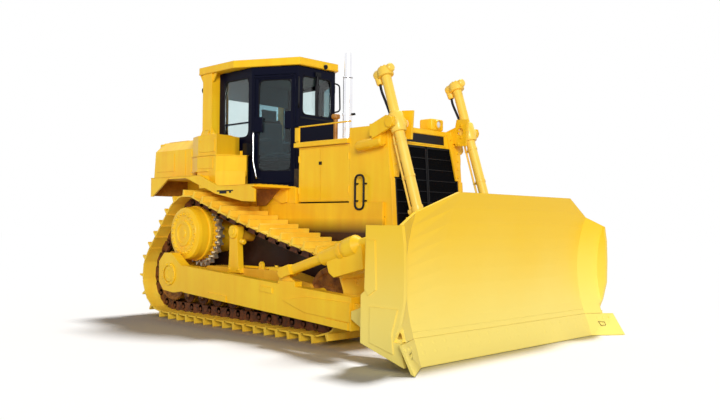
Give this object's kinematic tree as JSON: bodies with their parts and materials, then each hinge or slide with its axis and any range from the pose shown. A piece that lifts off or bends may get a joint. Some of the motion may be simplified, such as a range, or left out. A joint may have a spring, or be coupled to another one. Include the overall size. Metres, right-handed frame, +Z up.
{
  "type": "bulldozer",
  "caption": "Track-type bulldozer with elevated sprockets, a semi-U blade on push arms, a tilt cylinder, two lift cylinders and an enclosed cab with a roll-over canopy.",
  "frame": {"origin": "bottom centre of the bounding box, on the ground", "axes": "+X forward towards the blade, +Y to the machine's left side, +Z up"},
  "size_m": [6.088, 3.956, 3.551],
  "materials": {
    "track_shoe": "worn",
    "yellow_paint": "satin",
    "engine": "matte",
    "bright_steel": "polished",
    "black_paint": "matte",
    "cab_paint": "satin",
    "glass": "gloss",
    "seat_cover": "matte"
  },
  "bodies": {
    "chassis": {"track_left": "track_shoe", "track_right": "track_shoe", "track_frame_left": "yellow_paint", "track_frame_right": "yellow_paint", "final_drive_left": "yellow_paint", "final_drive_right": "yellow_paint", "main_frame": "yellow_paint", "drawbar": "yellow_paint", "engine_block": "engine", "radiator_guard": "yellow_paint", "grille_door_left": "black_paint", "grille_door_right": "black_paint", "hood": "yellow_paint", "exhaust_stack": "bright_steel", "cab_frame": "cab_paint", "side_glass_left": "glass", "side_glass_right": "glass", "windscreen": "glass", "rear_glass": "glass", "rops_canopy": "yellow_paint", "operator_seat": "seat_cover", "control_console": "cab_paint", "hydraulic_tank_right": "yellow_paint", "battery_box_left": "yellow_paint", "fuel_tank": "yellow_paint", "fender_left": "yellow_paint", "fender_right": "yellow_paint"},
    "trunnion_caps": {"trunnion_cap_left": "yellow_paint", "trunnion_cap_right": "yellow_paint"},
    "blade": {"blade": "yellow_paint", "cutting_edge": "yellow_paint", "end_bit_left": "yellow_paint", "end_bit_right": "yellow_paint", "brace_left": "yellow_paint"},
    "push_arm_left": {"push_arm_left": "yellow_paint"},
    "push_arm_right": {"push_arm_right": "yellow_paint"},
    "tilt_barrel": {"tilt_cylinder_barrel": "yellow_paint"},
    "tilt_rod": {"tilt_cylinder_rod": "yellow_paint"},
    "lift_barrel_left": {"lift_cylinder_barrel_left": "yellow_paint"},
    "lift_barrel_right": {"lift_cylinder_barrel_right": "yellow_paint"},
    "lift_rod_left": {"lift_cylinder_rod_left": "bright_steel"},
    "lift_rod_right": {"lift_cylinder_rod_right": "bright_steel"},
    "cab_door_left": {"cab_door_left": "cab_paint", "door_glass_left": "glass"},
    "cab_door_right": {"cab_door_right": "cab_paint", "door_glass_right": "glass"},
    "engine_door_rear_left": {"engine_door_rear_left": "yellow_paint"},
    "engine_door_rear_right": {"engine_door_rear_right": "yellow_paint"},
    "engine_door_front_left": {"engine_door_front_left": "yellow_paint"},
    "engine_door_front_right": {"engine_door_front_right": "yellow_paint"}
  },
  "joints": [
    {"name": "blade_lift", "type": "hinge", "parent": "chassis", "child": "trunnion_caps", "pos_m": [-1.644, 0, 0.64], "axis": [0, -1, 0], "range_deg": [-7.5, 15.7]},
    {"name": "blade_tilt", "type": "hinge", "parent": "trunnion_caps", "child": "blade", "pos_m": [1.896, 0, 0.4], "axis": [0.9227, -0.3805, -0.0626], "range_deg": [-6.5, 6.5]},
    {"name": "push_arm_left_tilt", "type": "hinge", "parent": "trunnion_caps", "child": "push_arm_left", "pos_m": [-1.644, 1.46, 0.64], "axis": [0, 1, 0], "range_deg": [-2.5, 2.5]},
    {"name": "push_arm_right_tilt", "type": "hinge", "parent": "trunnion_caps", "child": "push_arm_right", "pos_m": [-1.644, -1.46, 0.64], "axis": [0, 1, 0], "range_deg": [-2.5, 2.5]},
    {"name": "tilt_cylinder_pivot", "type": "hinge", "parent": "blade", "child": "tilt_barrel", "pos_m": [2.256, -1.5, 1.24], "axis": [0, 1, 0], "range_deg": [-3.4, 3.4]},
    {"name": "tilt_cylinder_stroke", "type": "slide", "parent": "tilt_barrel", "child": "tilt_rod", "axis": [-0.9577, 0, -0.2879], "range_m": [-0.07, 0.07]},
    {"name": "lift_cylinder_pivot_left", "type": "hinge", "parent": "chassis", "child": "lift_barrel_left", "pos_m": [1.621, 0.658, 2.47], "axis": [0, -1, 0], "range_deg": [-5.4, 11.2]},
    {"name": "lift_cylinder_stroke_left", "type": "slide", "parent": "lift_barrel_left", "child": "lift_rod_left", "axis": [0.3054, 0, -0.9522], "range_m": [-1.02, 0.49]},
    {"name": "lift_cylinder_pivot_right", "type": "hinge", "parent": "chassis", "child": "lift_barrel_right", "pos_m": [1.621, -0.658, 2.47], "axis": [0, -1, 0], "range_deg": [-5.4, 11.2]},
    {"name": "lift_cylinder_stroke_right", "type": "slide", "parent": "lift_barrel_right", "child": "lift_rod_right", "axis": [0.3054, 0, -0.9522], "range_m": [-1.02, 0.49]},
    {"name": "cab_door_left_hinge", "type": "hinge", "parent": "chassis", "child": "cab_door_left", "pos_m": [-0.4811, 0.3548, 2.59], "axis": [0, 0, -1], "range_deg": [0, 85]},
    {"name": "engine_door_rear_left_hinge", "type": "hinge", "parent": "chassis", "child": "engine_door_rear_left", "pos_m": [-0.042, 0.66, 1.95], "axis": [0, 0, 1], "range_deg": [0, 90]},
    {"name": "engine_door_front_left_hinge", "type": "hinge", "parent": "chassis", "child": "engine_door_front_left", "pos_m": [0.862, 0.66, 1.95], "axis": [0, 0, -1], "range_deg": [0, 90]},
    {"name": "cab_door_right_hinge", "type": "hinge", "parent": "chassis", "child": "cab_door_right", "pos_m": [-0.4811, -0.3548, 2.59], "axis": [0, 0, 1], "range_deg": [0, 85]},
    {"name": "engine_door_rear_right_hinge", "type": "hinge", "parent": "chassis", "child": "engine_door_rear_right", "pos_m": [-0.042, -0.66, 1.95], "axis": [0, 0, -1], "range_deg": [0, 90]},
    {"name": "engine_door_front_right_hinge", "type": "hinge", "parent": "chassis", "child": "engine_door_front_right", "pos_m": [0.862, -0.66, 1.95], "axis": [0, 0, 1], "range_deg": [0, 90]}
  ],
  "couplings": [
    {"joint": "push_arm_right_tilt", "follows": "blade_tilt", "ratio": 0.38053},
    {"joint": "push_arm_left_tilt", "follows": "blade_tilt", "ratio": -0.38053},
    {"joint": "tilt_cylinder_pivot", "follows": "blade_tilt", "ratio": 0.504},
    {"joint": "tilt_cylinder_stroke", "follows": "blade_tilt", "m_per_rad": -0.547},
    {"joint": "lift_cylinder_pivot_left", "follows": "blade_lift", "ratio": 0.70633},
    {"joint": "lift_cylinder_stroke_left", "follows": "blade_lift", "m_per_rad": -3.7028},
    {"joint": "lift_cylinder_pivot_right", "follows": "blade_lift", "ratio": 0.70633},
    {"joint": "lift_cylinder_stroke_right", "follows": "blade_lift", "m_per_rad": -3.7028}
  ]
}
